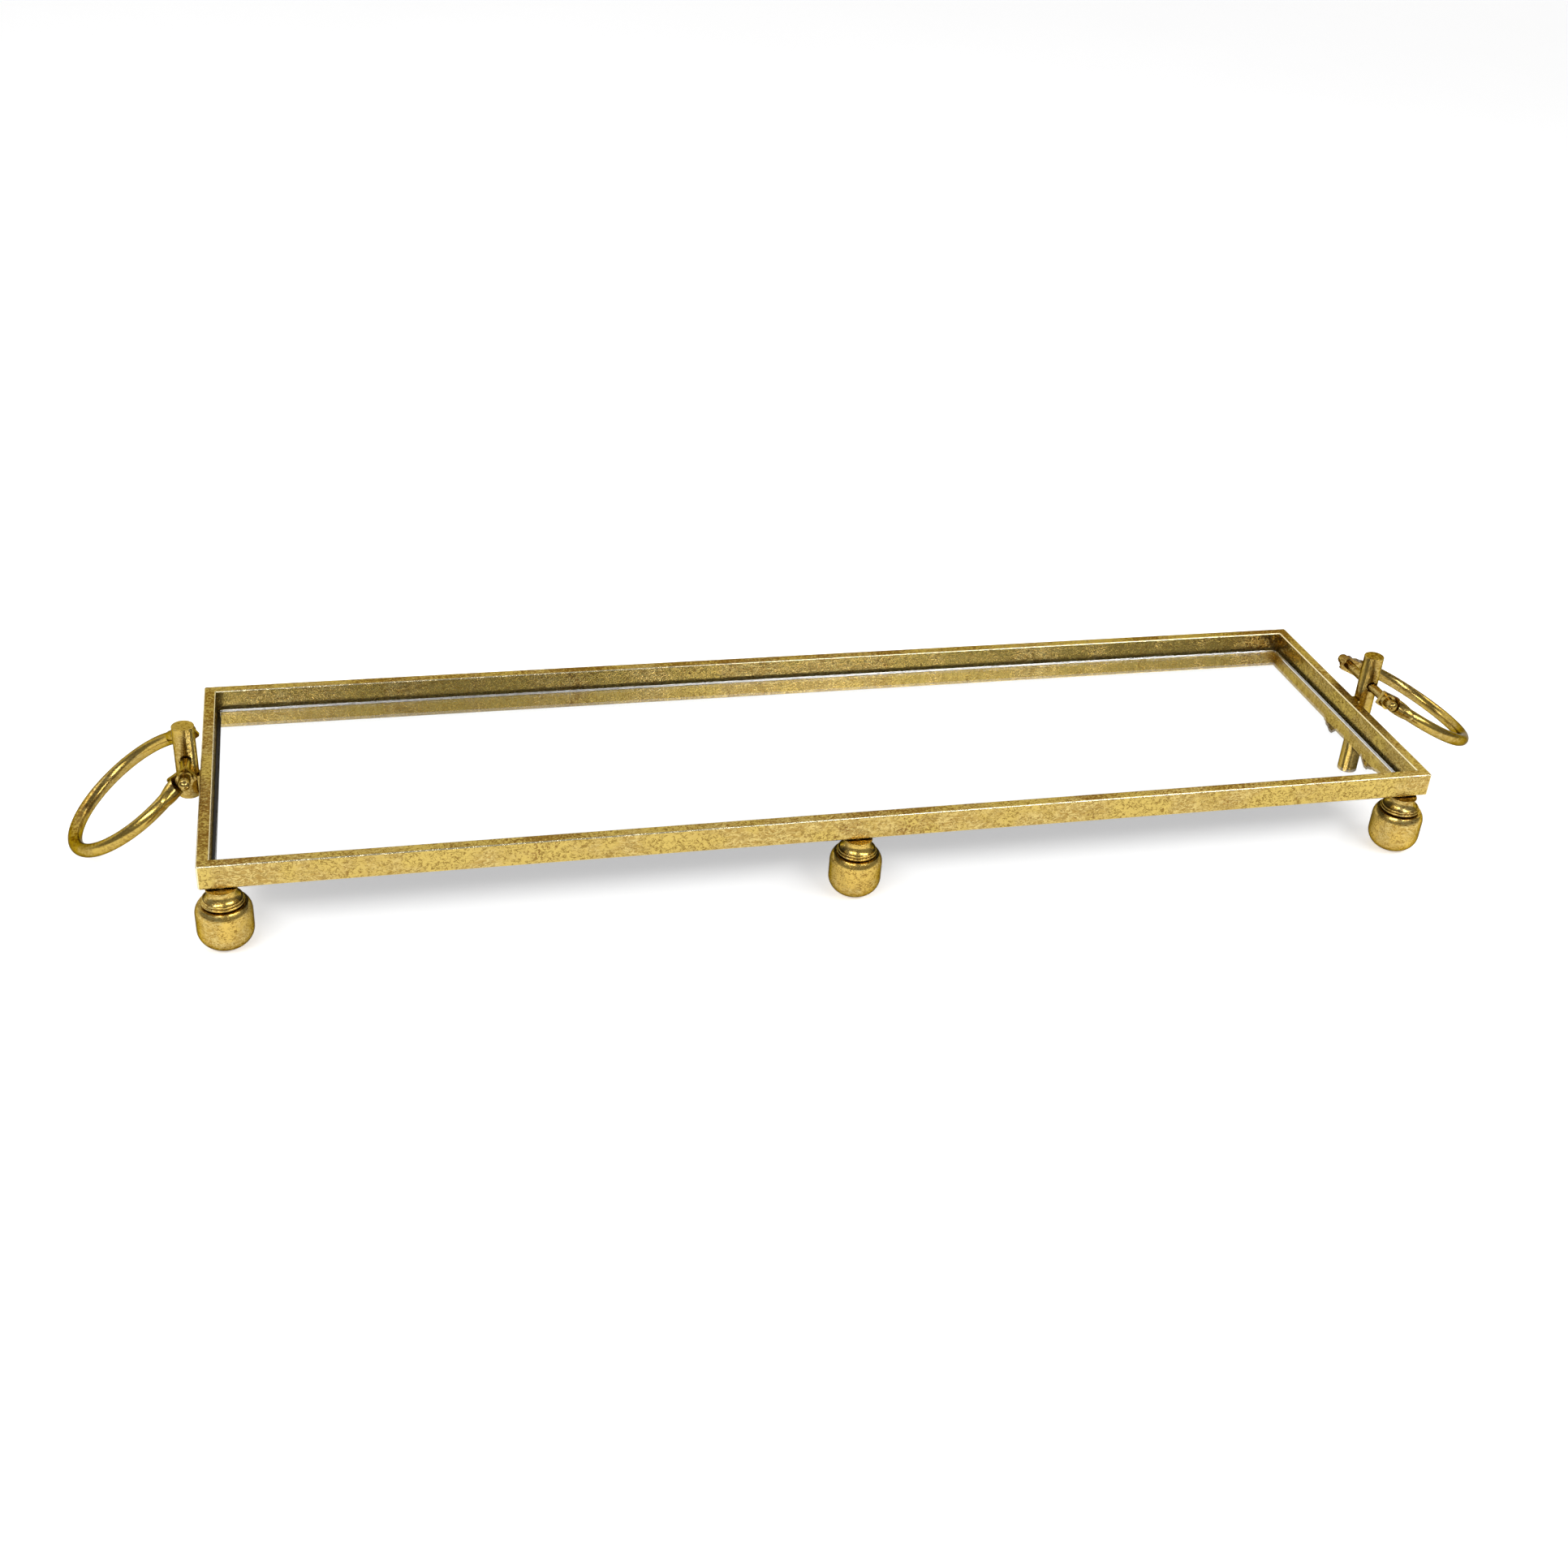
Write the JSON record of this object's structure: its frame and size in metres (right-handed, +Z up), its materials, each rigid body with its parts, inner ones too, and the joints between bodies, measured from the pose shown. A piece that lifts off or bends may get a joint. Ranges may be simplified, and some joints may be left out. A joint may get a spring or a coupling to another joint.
{
  "type": "serving tray",
  "caption": "Long mirrored serving tray with a gilt metal rim on turned ball feet and a hinged ring handle on a post at each end.",
  "frame": {"origin": "middle of the tray on the surface it stands on", "axes": "+X to the right along the long side, +Y to the back, +Z up"},
  "size_m": [0.8536, 0.2168, 0.0786],
  "materials": {
    "gilt_frame": "crinkled gold leaf with brown wash, satin",
    "gilt_feet": "gold leaf over turned metal, semi gloss",
    "gilt_handles": "gold leaf with brown wash, semi gloss",
    "glass": "clear polished float glass",
    "silvering": "silvered back of the glass",
    "sheet_metal": "dark bronze paint, matt",
    "stud_steel": "zinc plated"
  },
  "bodies": {
    "tray": {"front_rail": "gilt_frame", "back_rail": "gilt_frame", "left_rail": "gilt_frame", "right_rail": "gilt_frame", "base_sheet": "sheet_metal", "mirror_silver": "silvering", "mirror_glass": "glass", "foot_studs": "stud_steel", "front_left_foot": "gilt_feet", "front_left_foot_collar": "gilt_feet", "front_middle_foot": "gilt_feet", "front_middle_foot_collar": "gilt_feet", "front_right_foot": "gilt_feet", "front_right_foot_collar": "gilt_feet", "back_left_foot": "gilt_feet", "back_left_foot_collar": "gilt_feet", "back_middle_foot": "gilt_feet", "back_middle_foot_collar": "gilt_feet", "back_right_foot": "gilt_feet", "back_right_foot_collar": "gilt_feet", "left_post": "gilt_handles", "left_post_weld": "gilt_handles", "right_post": "gilt_handles", "right_post_weld": "gilt_handles"},
    "left_pin_set": {"left_pin": "gilt_handles", "left_front_rivet_washer": "gilt_handles", "left_back_rivet_washer": "gilt_handles"},
    "left_ring": {"left_ring": "gilt_handles"},
    "right_pin_set": {"right_pin": "gilt_handles", "right_front_rivet_washer": "gilt_handles", "right_back_rivet_washer": "gilt_handles"},
    "right_ring": {"right_ring": "gilt_handles"}
  },
  "joints": [
    {"name": "left_pin_slide", "type": "slide", "parent": "tray", "child": "left_pin_set", "axis": [0, 1, 0], "range_m": [-0.0165, 0.0145]},
    {"name": "left_ring_swing", "type": "hinge", "parent": "left_pin_set", "child": "left_ring", "pos_m": [-0.35645, 0.001, 0.0595], "axis": [0, 1, 0], "range_deg": [-58, 227]},
    {"name": "right_pin_slide", "type": "slide", "parent": "tray", "child": "right_pin_set", "axis": [0, 1, 0], "range_m": [-0.0165, 0.0145]},
    {"name": "right_ring_swing", "type": "hinge", "parent": "right_pin_set", "child": "right_ring", "pos_m": [0.35775, 0.001, 0.0595], "axis": [0, -1, 0], "range_deg": [-67.2, 217.8]}
  ]
}
